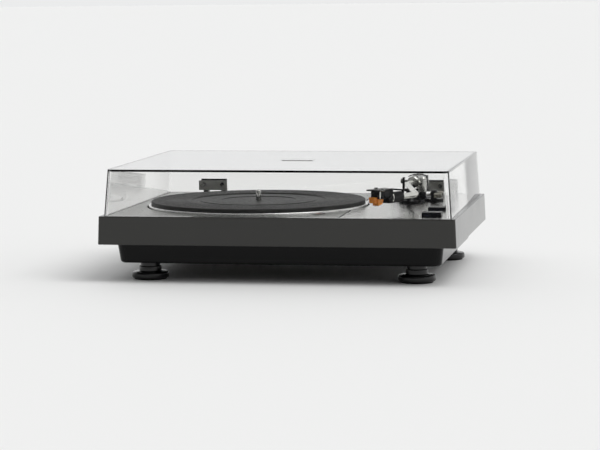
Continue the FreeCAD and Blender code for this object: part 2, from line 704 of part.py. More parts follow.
def make_yoke():
    """What swings but doesn't tilt: the shaft, the yoke with its legs and arch, and the pivot screws."""
    hub = local_rod(11.0, (0, 0, -16.2), (0, 0, -13.2))
    bridge = local_box((-17.6, -3.6, -13.2), (17.6, 3.6, -10.4))
    left = local_box((-17.6, -3.6, -13.2), (-15.2, 3.6, 5.0))
    right = local_box((15.2, -3.6, -13.2), (17.6, 3.6, 8.0))
    start, end = (4, 1.5, -21.3), (4, 4.5, -21.3)
    arch = local_rod(31.2, start, end).cut(local_rod(30.0, start, end))
    arch = arch.common(local_box((-10, 1.5, 0), (16.4, 4.5, 12)))
    screw_holes = local_rod(1.6, (-40, 0, 0), (40, 0, 0))
    yoke = hub.fuse([bridge, left, right, arch]).cut(screw_holes).removeSplitter()
    keep(solid(yoke, swing_frame()), "arm_yoke")
    keep(rod(4.0, ("dims.pivot_x", "dims.pivot_y", 62.0), "dims.pivot_z - 16.2 - 62"), "swing_shaft")
    screws = []
    for sign, nut_radius, nut_end in ((-1, 3.4, 20.0), (1, 2.4, 18.8)):
        thread = local_rod(1.6, (sign * 9.0, 0, 0), (sign * 18.6, 0, 0))
        needle = local_rod(0.8, (sign * 6.0, 0, 0), (sign * 9.0, 0, 0))
        nut = local_rod(nut_radius, (sign * 17.6, 0, 0), (sign * nut_end, 0, 0))
        screws.append(thread.fuse([needle, nut]).removeSplitter())
    keep(solid(Part.makeCompound(screws), swing_frame()), "pivot_screws")


def ringed(piece, floor_radius, places):
    """A turned piece along y with a narrow groove cut round it at each place."""
    for back in places:
        start, end = (0, back, 0), (0, back + 0.7, 0)
        piece = piece.cut(local_rod(20, start, end).cut(local_rod(floor_radius, start, end)))
    return piece


def make_arm():
    """What tilts: barrel, S-shaped tube, rear stub, and the socket that the headshell locks to."""
    frame = arm_frame()
    radius = size("barrel_radius")
    barrel = local_rod(radius, (0, -18, 0), (0, 6, 0))
    barrel = ringed(barrel, radius - 0.5, (-12.5, -7.5, 4.0))
    barrel = barrel.fuse(local_rod(3.5, (0, 6, 0), (0, 34, 0)))
    barrel = barrel.cut(local_rod(0.83, (-20, 0, 0), (20, 0, 0)))
    keep(solid(barrel, frame), "pivot_barrel")
    elbow = Vector(size("elbow_x"), size("elbow_y"), 0)
    forward = Rotation(Vector(0, 0, 1), size("offset_turn")).multVec(Vector(0, -1, 0))
    points = [(0, -18, 0), (0, size("first_bend_y"), 0), tuple(elbow), tuple(elbow + forward * 29.3)]
    keep(solid(bent_tube(size("tube_radius"), points, 26.0), frame), "arm_tube")
    weight = local_rod(8.5, (0, 8, 0), (0, 32, 0)).cut(local_rod(3.53, (0, 0, 0), (0, 40, 0)))
    keep(solid(ringed(weight, 8.0, (12.0, 16.0, 20.0, 24.0, 28.0)), frame), "counterweight")


def make_headshell():
    """The lock collar, headshell, cartridge, stylus unit, their screws and the finger lift."""
    frame = shell_frame()
    run = size("stylus_run")
    screw_y = 8.0 - run
    keep(solid(local_rod(4.8, (0, -29.3, 0), (0, -49.3, 0)), frame), "arm_socket")
    collar = local_rod(7.0, (0, -29.9, 0), (0, -48.9, 0)).cut(local_rod(4.83, (0, -20, 0), (0, -60, 0)))
    keep(solid(collar, frame), "lock_collar")
    ring = local_rod(7.1, (0, -49.3, 0), (0, -50.5, 0))
    neck = local_box((-6.5, -58.9, -6.5), (6.5, -50.5, 10.6))
    plate = local_box((-9.5, -7.0 - run, 10.6), (9.5, -51.3, 12.4))
    shell = ring.fuse([neck, plate]).removeSplitter()
    holes = Part.makeCompound([local_rod(1.25, (x, screw_y, 0), (x, screw_y, 20)) for x in (-6.3, 6.3)])
    keep(solid(shell.cut(holes), frame), "headshell")
    body = local_box((-8.0, -run, 0.6), (8.0, -59.5, 10.6))
    keep(solid(body.cut(holes), frame), "cartridge")
    side = [(5.5, 0.6), (-11.0, 0.6), (-8.0, -5.4), (0.5, -8.2), (4.0, -5.0), (5.5, 0.6)]
    guard = Part.makePolygon([Vector(0, -ahead - run, up) for ahead, up in side])
    unit = Part.Face(guard).extrude(Vector(13.0, 0, 0))
    unit.translate(Vector(-6.5, 0, 0))
    needle = Part.makeCone(0.5, 0.15, 1.8, Vector(0, -run, -8.0), Vector(0, 0, -1))
    keep(solid(unit.fuse(needle), frame), "stylus")
    screws = []
    for x in (-6.3, 6.3):
        shank = local_rod(1.25, (x, screw_y, 2.0), (x, screw_y, 12.4))
        head = local_rod(2.3, (x, screw_y, 12.4), (x, screw_y, 14.0))
        screws.append(shank.fuse(head).removeSplitter())
    keep(solid(Part.makeCompound(screws), frame), "cartridge_screws")
    lift = bent_tube(0.8, [(9.5, -run, 11.5), (15.0, -run, 11.5), (19.0, -run - 3.0, 13.5)], 3.0)
    keep(solid(lift, frame), "finger_lift")


make_plinth()
make_deck()
make_well()
make_tub()
make_feet()
make_platter()
make_motor()
make_electronics()
make_back_panel()
make_cover()
make_hinges()
make_keys()
make_arm_base()
make_cue()
make_yoke()
make_arm()
make_headshell()

# ---------------------------------------------------------------- checks and export
doc.recompute()
faults = [item.Name for item in doc.Objects if "Invalid" in item.State or "Error" in item.State]
for part in nodes:
    if part.Shape.isNull() or not part.Shape.isValid() or part.Shape.Volume <= 0:
        faults.append(part.Label)
if faults:
    raise RuntimeError("failed objects: " + ", ".join(faults))
for part in nodes:
    part.Shape.exportStep("parts/%s.step" % part.Label)
print(len(nodes), "nodes written")
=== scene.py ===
import bmesh
import bpy
import json
import math
from mathutils import Matrix, Vector


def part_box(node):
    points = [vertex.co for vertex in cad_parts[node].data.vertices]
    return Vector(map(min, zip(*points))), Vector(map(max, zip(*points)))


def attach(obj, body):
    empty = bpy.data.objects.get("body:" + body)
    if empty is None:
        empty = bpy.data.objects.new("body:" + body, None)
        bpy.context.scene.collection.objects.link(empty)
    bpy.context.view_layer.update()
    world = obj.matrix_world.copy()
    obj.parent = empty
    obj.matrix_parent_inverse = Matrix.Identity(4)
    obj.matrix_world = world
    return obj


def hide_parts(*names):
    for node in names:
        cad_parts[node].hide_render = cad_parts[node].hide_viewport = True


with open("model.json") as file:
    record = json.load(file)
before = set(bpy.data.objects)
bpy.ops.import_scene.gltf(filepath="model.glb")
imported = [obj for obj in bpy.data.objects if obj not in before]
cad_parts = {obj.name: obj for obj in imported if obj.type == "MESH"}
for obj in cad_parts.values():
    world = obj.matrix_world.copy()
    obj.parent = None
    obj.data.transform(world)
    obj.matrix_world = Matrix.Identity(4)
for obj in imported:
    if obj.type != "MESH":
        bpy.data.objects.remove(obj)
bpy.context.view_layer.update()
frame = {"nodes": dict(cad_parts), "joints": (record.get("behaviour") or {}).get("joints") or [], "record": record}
nodes = frame["nodes"]
joints = {joint["name"]: joint for joint in frame["joints"]}

# ------------------------------------------------------------------ studio
# A plain pale floor under a white sky, which is darker to the front left, and one broad soft light from
# above. The camera stands low and a little to the right of the player, with a long lens.

scene = bpy.context.scene
scene.view_settings.view_transform = "Standard"


def plain_material(name, color, roughness):
    """A one-shader material for the floor."""
    material = bpy.data.materials.new(name)
    material.use_nodes = True
    shader = material.node_tree.nodes["Principled BSDF"]
    shader.inputs["Base Color"].default_value = (*color, 1)
    shader.inputs["Roughness"].default_value = roughness
    return material


floor_mesh = bmesh.new()
bmesh.ops.create_circle(floor_mesh, cap_ends=True, segments=96, radius=60)
floor_data = bpy.data.meshes.new("floor")
floor_mesh.to_mesh(floor_data)
floor_mesh.free()
floor = bpy.data.objects.new("floor", floor_data)
floor_data.materials.append(plain_material("floor_paper", (0.825, 0.825, 0.818), 0.75))
scene.collection.objects.link(floor)

world = bpy.data.worlds.new("studio")
world.use_nodes = True
sky_tree = world.node_tree
direction = sky_tree.nodes.new("ShaderNodeTexCoord")
lean = sky_tree.nodes.new("ShaderNodeVectorMath")
lean.operation = "DOT_PRODUCT"
lean.inputs[1].default_value = (0.48, 0.68, 0.55)
sky_tree.links.new(direction.outputs["Generated"], lean.inputs[0])
fade = sky_tree.nodes.new("ShaderNodeMapRange")
fade.interpolation_type = "SMOOTHSTEP"
fade.inputs["From Min"].default_value = -0.65
fade.inputs["From Max"].default_value = 0.35
fade.inputs["To Min"].default_value = 0.05
fade.inputs["To Max"].default_value = 0.84
sky_tree.links.new(lean.outputs["Value"], fade.inputs["Value"])
sky_tree.links.new(fade.outputs["Result"], sky_tree.nodes["Background"].inputs["Strength"])
sky_tree.nodes["Background"].inputs["Color"].default_value = (0.99, 0.995, 1.0, 1)
scene.world = world

key_light = bpy.data.lights.new("soft_overhead", "SUN")
key_light.energy = 1.32
key_light.angle = math.radians(40)
key_holder = bpy.data.objects.new("soft_overhead", key_light)
key_holder.rotation_euler = (math.radians(10), math.radians(30), 0)
scene.collection.objects.link(key_holder)

camera_data = bpy.data.cameras.new("camera")
camera_data.sensor_width = 36
camera_data.lens = 136.46
camera_data.clip_end = 200
camera = bpy.data.objects.new("camera", camera_data)
turn = Matrix.Rotation(math.radians(10.42), 4, "Z")
tip = Matrix.Rotation(math.radians(90 - 5.885), 4, "X")
roll = Matrix.Rotation(math.radians(-0.527), 4, "Z")
camera.matrix_world = Matrix.Translation((0.5440, -2.9648, 0.3677)) @ turn @ tip @ roll
scene.collection.objects.link(camera)
scene.camera = camera

# ------------------------------------------------------------------ plinth
# The plinth is one dark grey moulding with a satin skin. It carries everything else.
# Its finish comes from a shared group that varies colour and gloss a little and adds fine grain.


def surface_group():
    """Colour and roughness that wander slightly, and a fine grain height, on stretchable coordinates."""
    group = bpy.data.node_groups.new("surface_variation", "ShaderNodeTree")
    for name, kind, start in (("Color", "Color", (0.5, 0.5, 0.5, 1)), ("Spread", "Float", 0.1),
                              ("Smooth", "Float", 0.3), ("Rough", "Float", 0.4),
                              ("Patch Scale", "Float", 20.0), ("Grain Scale", "Float", 900.0),
                              ("Stretch", "Vector", (1, 1, 1))):
        socket = group.interface.new_socket(name=name, in_out="INPUT", socket_type="NodeSocket" + kind)
        socket.default_value = start
    for name, kind in (("Color", "Color"), ("Roughness", "Float"), ("Height", "Float")):
        group.interface.new_socket(name=name, in_out="OUTPUT", socket_type="NodeSocket" + kind)
    make = group.nodes.new
    link = group.links.new
    entry = make("NodeGroupInput")
    leave = make("NodeGroupOutput")
    place = make("ShaderNodeTexCoord")
    stretch = make("ShaderNodeVectorMath")
    stretch.operation = "MULTIPLY"
    link(place.outputs["Object"], stretch.inputs[0])
    link(entry.outputs["Stretch"], stretch.inputs[1])
    patches = make("ShaderNodeTexNoise")
    patches.inputs["Detail"].default_value = 3
    link(stretch.outputs[0], patches.inputs["Vector"])
    link(entry.outputs["Patch Scale"], patches.inputs["Scale"])
    grain = make("ShaderNodeTexNoise")
    grain.inputs["Detail"].default_value = 2
    link(stretch.outputs[0], grain.inputs["Vector"])
    link(entry.outputs["Grain Scale"], grain.inputs["Scale"])
    both = make("ShaderNodeMath")
    both.operation = "ADD"
    link(patches.outputs["Fac"], both.inputs[0])
    link(grain.outputs["Fac"], both.inputs[1])
    centred = make("ShaderNodeMath")
    centred.operation = "SUBTRACT"
    link(both.outputs[0], centred.inputs[0])
    centred.inputs[1].default_value = 1.0
    amount = make("ShaderNodeMath")
    amount.operation = "MULTIPLY_ADD"
    link(centred.outputs[0], amount.inputs[0])
    link(entry.outputs["Spread"], amount.inputs[1])
    amount.inputs[2].default_value = 1.0
    shade = make("ShaderNodeVectorMath")
    shade.operation = "SCALE"
    link(entry.outputs["Color"], shade.inputs[0])
    link(amount.outputs[0], shade.inputs["Scale"])
    gloss = make("ShaderNodeMapRange")
    link(patches.outputs["Fac"], gloss.inputs["Value"])
    gloss.inputs["From Min"].default_value = 0.3
    gloss.inputs["From Max"].default_value = 0.7
    link(entry.outputs["Smooth"], gloss.inputs["To Min"])
    link(entry.outputs["Rough"], gloss.inputs["To Max"])
    link(shade.outputs[0], leave.inputs["Color"])
    link(gloss.outputs[0], leave.inputs["Roughness"])
    link(grain.outputs["Fac"], leave.inputs["Height"])
    return group


surface_variation = surface_group()


def finish(name, color, metallic=0.0, smooth=0.3, rough=0.42, spread=0.12, patch=25, grain=1400,
           bump=0.06, stretch=(1, 1, 1), coat=0.0, shine=0.5):
    """A material whose colour, gloss and fine relief come from the shared group."""
    material = bpy.data.materials.new(name)
    material.use_nodes = True
    tree = material.node_tree
    shader = tree.nodes["Principled BSDF"]
    shader.inputs["Metallic"].default_value = metallic
    shader.inputs["Specular IOR Level"].default_value = shine
    shader.inputs["Coat Weight"].default_value = coat
    shader.inputs["Coat Roughness"].default_value = 0.08
    surface = tree.nodes.new("ShaderNodeGroup")
    surface.name = "surface"
    surface.node_tree = surface_variation
    for socket, value in (("Color", (*color, 1)), ("Spread", spread), ("Smooth", smooth), ("Rough", rough),
                          ("Patch Scale", patch), ("Grain Scale", grain), ("Stretch", stretch)):
        surface.inputs[socket].default_value = value
    relief = tree.nodes.new("ShaderNodeBump")
    relief.name = "relief"
    relief.inputs["Strength"].default_value = bump
    relief.inputs["Distance"].default_value = 0.0002
    tree.links.new(surface.outputs["Color"], shader.inputs["Base Color"])
    tree.links.new(surface.outputs["Roughness"], shader.inputs["Roughness"])
    tree.links.new(surface.outputs["Height"], relief.inputs["Height"])
    tree.links.new(relief.outputs["Normal"], shader.inputs["Normal"])
    return material


def dress(material, *names):
    """Gives CAD nodes, whose shape is right as it is, their finish."""
    for name in names:
        slots = nodes[name].data.materials
        slots.clear()
        slots.append(material)


plinth_grey = finish("plinth_satin_grey", (0.0158, 0.0156, 0.0132), smooth=0.09, rough=0.16,
                     grain=2600, bump=0.015)
dress(plinth_grey, "plinth")

# ------------------------------------------------------------------ deck panels
# Two sheets of anodised aluminium, bonded into the plinth's recess. The right one is brushed from side to side;
# the left one has a fine blasted satin face. A black strip down in the groove between them is painted shade: it
# stands in for the shadow inside that gap.

panel_brushed = finish("deck_brushed_aluminium", (0.60, 0.60, 0.58), metallic=1.0, smooth=0.15, rough=0.21,
                       spread=0.1, patch=8, grain=60, bump=0.5, stretch=(1, 45, 1))
dress(panel_brushed, "deck_panel_right")
panel_satin = finish("deck_satin_aluminium", (0.385, 0.386, 0.37), metallic=1.0, smooth=0.26, rough=0.38,
                     spread=0.2, patch=120, grain=1500, bump=0.2)
dress(panel_satin, "deck_panel_left")


def add_piece(name, mesh, body, material, replaced=(), sharp=35, merge=1e-6):
    """Makes a finished piece from a bmesh: closed, facing outwards and smooth up to an angle."""
    bmesh.ops.remove_doubles(mesh, verts=mesh.verts, dist=merge)
    bmesh.ops.recalc_face_normals(mesh, faces=mesh.faces)
    data = bpy.data.meshes.new(name)
    mesh.to_mesh(data)
    mesh.free()
    data.materials.append(material)
    data.shade_smooth()
    data.set_sharp_from_angle(angle=math.radians(sharp))
    piece = bpy.data.objects.new(name, data)
    scene.collection.objects.link(piece)
    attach(piece, body)
    if replaced:
        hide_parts(*replaced)
    return piece


def mark_placed(mesh):
    """Tags what the mesh holds so far, so that spin_profile moves only its own vertices."""
    for vertex in mesh.verts:
        vertex.tag = True


def block(mesh, low, high, place=Matrix.Identity(4), bevel=0.0004, segments=3):
    """A box between two corners with its edges rounded, put in a frame."""
    size = Vector(high) - Vector(low)
    middle = (Vector(high) + Vector(low)) / 2
    verts = bmesh.ops.create_cube(mesh, size=1.0)["verts"]
    bmesh.ops.scale(mesh, vec=size, verts=verts)
    bmesh.ops.translate(mesh, vec=middle, verts=verts)
    bmesh.ops.transform(mesh, matrix=place, verts=verts)
    edges = list({edge for vertex in verts for edge in vertex.link_edges})
    if bevel > 0:
        bmesh.ops.bevel(mesh, geom=edges, offset=bevel, offset_type="OFFSET", affect="EDGES",
                        segments=segments, profile=0.5, material=-1)
    mark_placed(mesh)


# The platter's well parts the strip in two.
left_box, right_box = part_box("deck_panel_left"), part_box("deck_panel_right")
groove_x = (left_box[1][0] + right_box[0][0]) / 2
axis_x, axis_y = joints["platter_spin"]["pos_m"][:2]
well_radius = 0.1486
well_reach = math.sqrt(well_radius ** 2 - (groove_x - axis_x) ** 2)
strip_half = 0.0009
strip_bottom, strip_top = 0.0835, 0.08506
# Matte black in the groove between the panels: painted shade for the shadow down in that gap.
groove_shade_paint = finish("groove_painted_shade", (0.004, 0.004, 0.005), smooth=0.4, rough=0.6, grain=900,
                     bump=0.05, shine=0.1)
strip_mesh = bmesh.new()
for start_y, end_y in ((left_box[0][1], axis_y - well_reach), (axis_y + well_reach, left_box[1][1])):
    block(strip_mesh, (groove_x - strip_half, start_y, strip_bottom),
          (groove_x + strip_half, end_y, strip_top), bevel=0)
add_piece("groove_strip", strip_mesh, "root", groove_shade_paint)

# ------------------------------------------------------------------ strobe window
# A dark red moulded lens, pressed into a notch at the edge of the platter's well, over a small lamp.

red_lens = finish("strobe_red_lens", (0.05, 0.004, 0.006), smooth=0.08, rough=0.16, grain=500,
                  bump=0.05, coat=0.6)
dress(red_lens, "strobe_window", "strobe_lamp")

# ------------------------------------------------------------------ chassis tub
# The lower casing: a black moulded tub, screwed up under the plinth, with vent slots in its floor.

black_moulding = finish("black_moulding", (0.0042, 0.0043, 0.0045), smooth=0.07, rough=0.14,
                        grain=2200, bump=0.01, shine=0.14)
dress(black_moulding, "chassis_tub", "platter_well", "back_panel", "mains_inlet", "hinge_blocks",
      "key_switches")

# ------------------------------------------------------------------ feet
# Four isolator feet in glossy black plastic, each turned in steps, with a rubber pad below and a long
# screw from inside the tub.


def spin_profile(mesh, profile, steps=96, place=Matrix.Identity(4)):
    """Turns a closed outline of (radius, height) points round the z axis of a frame."""
    corners = [mesh.verts.new((radius, 0, height)) for radius, height in profile]
    edges = [mesh.edges.new((corners[index - 1], corners[index])) for index in range(len(corners))
             if not (profile[index - 1][0] == 0 and profile[index][0] == 0)]
    bmesh.ops.spin(mesh, geom=corners + edges, cent=(0, 0, 0), axis=(0, 0, 1), angle=2 * math.pi,
                   steps=steps, use_merge=True, use_duplicate=False)
    fresh = [vertex for vertex in mesh.verts if not vertex.tag]
    bmesh.ops.transform(mesh, matrix=place, verts=fresh)
    mark_placed(mesh)


def rounded(corners, radius, steps=4):
    """An outline with an arc at each corner whose mark is true; corners are (across, up, mark)."""
    outline = []
    count = len(corners)
    for index, (across, up, mark) in enumerate(corners):
        if not mark:
            outline.append((across, up))
            continue
        here = Vector((across, up))
        before = Vector(corners[index - 1][:2]) - here
        after = Vector(corners[(index + 1) % count][:2]) - here
        reach = min(radius, 0.45 * before.length, 0.45 * after.length)
        first = here + before.normalized() * reach
        last = here + after.normalized() * reach
        for step in range(steps + 1):
            share = step / steps
            point = first.lerp(here, share).lerp(here.lerp(last, share), share)
            outline.append(tuple(point))
    return outline


foot_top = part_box("feet")[1][2]
foot_radius = 0.0238
mount_offset = 0.012  # each foot's mount lies this far to the right of the foot's axis
foot_gloss = finish("foot_gloss_black", (0.004, 0.004, 0.0044), smooth=0.14, rough=0.24, grain=900, bump=0.04,
                    shine=0.42)
feet_mesh = bmesh.new()
foot_outline = [(0, 0.0015, False), (0.0214, 0.0015, True), (foot_radius, 0.0026, True),
                (foot_radius, 0.0080, True), (0.0226, 0.0096, True), (0.0150, 0.0102, True),
                (0.0142, 0.0110, False), (0.0142, 0.0170, True), (0.0126, 0.0174, False),
                (0.0126, foot_top, False), (0, foot_top, False)]
for mount in frame["record"]["mounts"]:
    if mount["name"].startswith("foot_"):
        centre = Matrix.Translation((mount["pos_m"][0] - mount_offset, mount["pos_m"][1], 0))
        spin_profile(feet_mesh, rounded(foot_outline, 0.0009), 72, centre)
add_piece("isolator_feet", feet_mesh, "root", foot_gloss, ("feet",))
black_rubber = finish("foot_rubber", (0.006, 0.006, 0.006), smooth=0.62, rough=0.78, grain=1200, bump=0.3,
                      shine=0.15)
dress(black_rubber, "foot_pads")
bright_steel = finish("bright_steel", (0.36, 0.36, 0.35), metallic=1.0, smooth=0.14, rough=0.26, spread=0.2,
                      patch=90, grain=1600, bump=0.12)
dress(bright_steel, "foot_screws", "hinge_screws", "hinge_pins", "swing_shaft", "arm_pillar",
      "ground_terminal")

# ------------------------------------------------------------------ platter
# An aluminium casting with a turned rim, pressed on the spindle. A magnet ring under it is the motor's
# rotor, and the mat lies in its shallow recess.

platter_axis = Matrix.Translation((axis_x, axis_y, 0))
platter_low, platter_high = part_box("platter")
rim_radius = (platter_high[0] - platter_low[0]) / 2
rim_top, rim_bottom = platter_high[2], platter_low[2]
spindle_low, spindle_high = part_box("spindle")
shaft_radius = (spindle_high[0] - spindle_low[0]) / 2
mat_low, mat_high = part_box("platter_mat")
mat_radius = (mat_high[0] - mat_low[0]) / 2
mat_bottom, mat_top = mat_low[2], mat_high[2]
turned_rim = finish("platter_turned_rim", (0.80, 0.80, 0.79), metallic=1.0, smooth=0.16, rough=0.26,
                    spread=0.1, patch=30, grain=300, bump=0.12, stretch=(1, 1, 12))
platter_outline = [(shaft_radius, 0.072, False), (0.012, 0.072, True), (0.012, 0.0822, False),
                   (0.138, 0.0822, False), (0.138, rim_bottom, True), (rim_radius, rim_bottom, True),
                   (rim_radius, rim_top, True),
                   (mat_radius + 0.0006, rim_top, True), (mat_radius + 0.0003, mat_bottom, False),
                   (shaft_radius, mat_bottom, False)]
platter_mesh = bmesh.new()
spin_profile(platter_mesh, rounded(platter_outline, 0.0009), 180, platter_axis)
add_piece("cast_platter", platter_mesh, "platter", turned_rim, ("platter",))

# ------------------------------------------------------------------ mat
# A moulded rubber mat: fine concentric ribs outside, a smooth channel, a plain band and a recess for
# the record's label.

rib_pitch = 0.0021
rib_depth = 0.00045
rib_start = mat_radius - 0.0022
rib_end = 0.0925
mat_bore = 0.0043
mat_outline = [(mat_bore, mat_bottom), (mat_radius - 0.0004, mat_bottom), (mat_radius, mat_bottom + 0.0004),
               (mat_radius, mat_top - 0.0012), (mat_radius - 0.0003, mat_top - 0.0005),
               (mat_radius - 0.0010, mat_top - 0.0001)]
for index in range(int((rib_start - rib_end) / rib_pitch)):
    radius = rib_start - index * rib_pitch
    mat_outline += [(radius, mat_top), (radius - 0.0013, mat_top), (radius - 0.0015, mat_top - rib_depth),
                    (radius - 0.0019, mat_top - rib_depth)]
mat_outline += [(radius, mat_top - drop) for radius, drop in (
    (0.0904, 0), (0.0890, 0.0014), (0.0782, 0.0014), (0.0770, 0.0004), (0.0640, 0.0004), (0.0637, 0.0007),
    (0.0630, 0.0007), (0.0627, 0.0004), (0.0500, 0.0004), (0.0492, 0.0013), (mat_bore, 0.0013))]
mat_rubber = finish("mat_rubber", (0.022, 0.022, 0.021), smooth=0.4, rough=0.56, spread=0.5, patch=220,
                    grain=1500, bump=0.35, shine=0.3)
mat_mesh = bmesh.new()
spin_profile(mat_mesh, mat_outline, 180, platter_axis)
add_piece("ribbed_mat", mat_mesh, "platter", mat_rubber, ("platter_mat",))

# ------------------------------------------------------------------ spindle
# A ground steel pin with a rounded nose. Below the mat's top it steps out to the shaft that runs in the
# bearing.

spindle_radius = 0.0036
shoulder = 0.0915
polished_steel = finish("polished_steel", (0.40, 0.40, 0.39), metallic=1.0, smooth=0.06, rough=0.14,
                        grain=800, bump=0.03)
nose = 0.0030
spindle_outline = [(0, spindle_low[2]), (shaft_radius, spindle_low[2]), (shaft_radius, shoulder),
                   (spindle_radius, shoulder), (spindle_radius, spindle_high[2] - nose)]
for step in range(1, 9):
    share = step / 8 * math.pi / 2
    spindle_outline.append((spindle_radius * math.cos(share), spindle_high[2] - nose * (1 - math.sin(share))))
spindle_outline[-1] = (0, spindle_high[2])
spindle_mesh = bmesh.new()
spin_profile(spindle_mesh, spindle_outline, 48, platter_axis)
add_piece("ground_spindle", spindle_mesh, "platter", polished_steel, ("spindle",))

# ------------------------------------------------------------------ motor and electronics
# Inside the casing: the bearing, the ring of coils on its board, the transformer and two circuit boards.

turned_brass = finish("turned_brass", (0.62, 0.44, 0.17), metallic=1.0, smooth=0.22, rough=0.34,
                      grain=700, bump=0.1)
dress(turned_brass, "spindle_bearing", "board_standoffs")
gold_plate = finish("gold_plate", (0.86, 0.62, 0.22), metallic=1.0, smooth=0.1, rough=0.2, grain=700,
                    bump=0.03)
dress(gold_plate, "phono_sockets")
wire_copper = finish("enamelled_wire", (0.55, 0.17, 0.06), metallic=0.6, smooth=0.2, rough=0.35, spread=0.5,
                     patch=200, grain=1800, bump=0.5, stretch=(0.2, 0.2, 4))
dress(wire_copper, "stator_coils", "transformer_winding")
iron = finish("laminated_iron", (0.10, 0.10, 0.105), metallic=0.7, smooth=0.4, rough=0.6, spread=0.4,
              patch=60, grain=1200, bump=0.4, stretch=(0.1, 1, 1))
dress(iron, "transformer_core", "rotor_magnet")
board_green = finish("solder_resist_green", (0.018, 0.11, 0.045), smooth=0.25, rough=0.4, spread=0.5,
                     patch=300, grain=900, bump=0.2)
dress(board_green, "motor_board", "power_board", "control_board")
can_black = finish("capacitor_sleeve", (0.015, 0.016, 0.03), smooth=0.2, rough=0.3, grain=700, bump=0.05)
dress(can_black, "board_capacitors", "thrust_pad")

# ------------------------------------------------------------------ control keys
# Two flat blue-black keys beside the tonearm, each in its own opening in the deck. A flange below the
# deck keeps each one in.

key_gloss = finish("key_blue_black", (0.004, 0.0045, 0.009), smooth=0.2, rough=0.3, grain=1200, bump=0.05,
                   shine=0.15)
flange = 0.002
flange_bottom, flange_top = 0.0766, 0.0792
for key in ("start_key", "speed_key"):
    low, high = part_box(key)
    key_mesh = bmesh.new()
    block(key_mesh, (low[0] + flange, low[1] + flange, 0.0765),
          (high[0] - flange, high[1] - flange, high[2]), bevel=0.0007, segments=4)
    block(key_mesh, (low[0], low[1], flange_bottom), (high[0], high[1], flange_top), bevel=0.0003)
    add_piece(key + "_cap", key_mesh, key, key_gloss, (key,))

# ------------------------------------------------------------------ tonearm base
# Everything of the arm that stays still: a black base plate, the pillar, the rest, the cue cylinder and
# the lever's bearing block.

satin_black = finish("satin_black_paint", (0.0035, 0.0038, 0.005), smooth=0.2, rough=0.32, grain=1500,
                     bump=0.06, shine=0.22)
dress(satin_black, "arm_base", "arm_rest", "cue_cylinder", "lever_block", "cue_lift")

# The arm's own frame comes from its joints: the tilt axis, the counterweight's axis and the pivot.
pivot = Vector(joints["arm_tilt"]["pos_m"])
arm_right = -Vector(joints["arm_tilt"]["axis"]).normalized()
arm_back = Vector(joints["counterweight_turn"]["axis"]).normalized()
arm_up = arm_right.cross(arm_back)


def frame_at(origin, right, back, up):
    """A frame matrix from an origin and three axes."""
    matrix = Matrix.Identity(4)
    for column, axis in enumerate((right, back, up)):
        for row in range(3):
            matrix[row][column] = axis[row]
    matrix.translation = origin
    return matrix


arm_place = frame_at(pivot, arm_right, arm_back, arm_up)
along_arm = Matrix.Rotation(math.radians(-90), 4, "X")

# ------------------------------------------------------------------ anti-skating dial
# A tall satin silver knob beside the pivot, with a domed top. It turns on the arm base.

satin_silver = finish("satin_silver", (0.50, 0.50, 0.48), metallic=1.0, smooth=0.18, rough=0.28, spread=0.08,
                      patch=60, grain=1400, bump=0.08)
dial_low, dial_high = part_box("antiskate_dial")
dial_radius = (dial_high[0] - dial_low[0]) / 2
dial_centre = Matrix.Translation(((dial_low[0] + dial_high[0]) / 2, (dial_low[1] + dial_high[1]) / 2, 0))
dial_outline = rounded([(0, dial_low[2], False), (0.0050, dial_low[2], True),
                        (dial_radius, dial_low[2] + 0.0008, True), (dial_radius, dial_high[2] - 0.0022, True),
                        (0.0044, dial_high[2], True), (0, dial_high[2], False)], 0.0006)
dial_mesh = bmesh.new()
spin_profile(dial_mesh, dial_outline, 64, dial_centre)
add_piece("dial_knob", dial_mesh, "antiskate_dial", satin_silver, ("antiskate_dial",))

# ------------------------------------------------------------------ cue lever
# A slim lever with a round satin grip. It turns in its block and lifts the curved bar under the tube.

warm_steel = finish("warm_satin_steel", (0.25, 0.24, 0.205), metallic=1.0, smooth=0.16, rough=0.28,
                    grain=900, bump=0.06)
dress(warm_steel, "cue_lever")

# ------------------------------------------------------------------ yoke and pivot screws
# A black U-shaped yoke with a thin arch over the barrel. It turns on the shaft, and two pointed screws in
# its legs carry the barrel.

yoke_mesh = bmesh.new()
upright_right = Vector((arm_right.x, arm_right.y, 0)).normalized()
upright_back = Vector((0, 0, 1)).cross(upright_right)
swing_place = frame_at(pivot, upright_right, upright_back, Vector((0, 0, 1)))
leg_in, leg_out, leg_deep = 0.0152, 0.0176, 0.0036
block(yoke_mesh, (-leg_out, -leg_deep, -0.0132), (leg_out, leg_deep, -0.0104), swing_place, 0.0006)
block(yoke_mesh, (-leg_out, -leg_deep, -0.0132), (-leg_in, leg_deep, 0.0050), swing_place, 0.0006)
block(yoke_mesh, (leg_in, -leg_deep, -0.0132), (leg_out, leg_deep, 0.0080), swing_place, 0.0006)
spin_profile(yoke_mesh, rounded([(0, -0.0162, False), (0.011, -0.0162, True), (0.011, -0.0132, True),
                                 (0, -0.0132, False)], 0.0006), 64, swing_place)
arch_steps = 16
arch_start, arch_span = -0.010, 0.0264
arch_centre_x, arch_centre_z = 0.004, -0.0213
arch_rings = []
for step in range(arch_steps + 1):
    across = arch_start + arch_span * step / arch_steps
    ring = []
    for reach, back in ((0.0300, 0.0015), (0.0312, 0.0015), (0.0312, 0.0045), (0.0300, 0.0045)):
        up = math.sqrt(reach ** 2 - (across - arch_centre_x) ** 2) + arch_centre_z
        ring.append(yoke_mesh.verts.new((across, back, up)))
    arch_rings.append(ring)
for first, second in zip(arch_rings, arch_rings[1:]):
    for side in range(4):
        yoke_mesh.faces.new((first[side], first[(side + 1) % 4], second[(side + 1) % 4], second[side]))
yoke_mesh.faces.new(arch_rings[0])
yoke_mesh.faces.new(arch_rings[-1])
bmesh.ops.transform(yoke_mesh, matrix=swing_place, verts=[vertex for ring in arch_rings for vertex in ring])
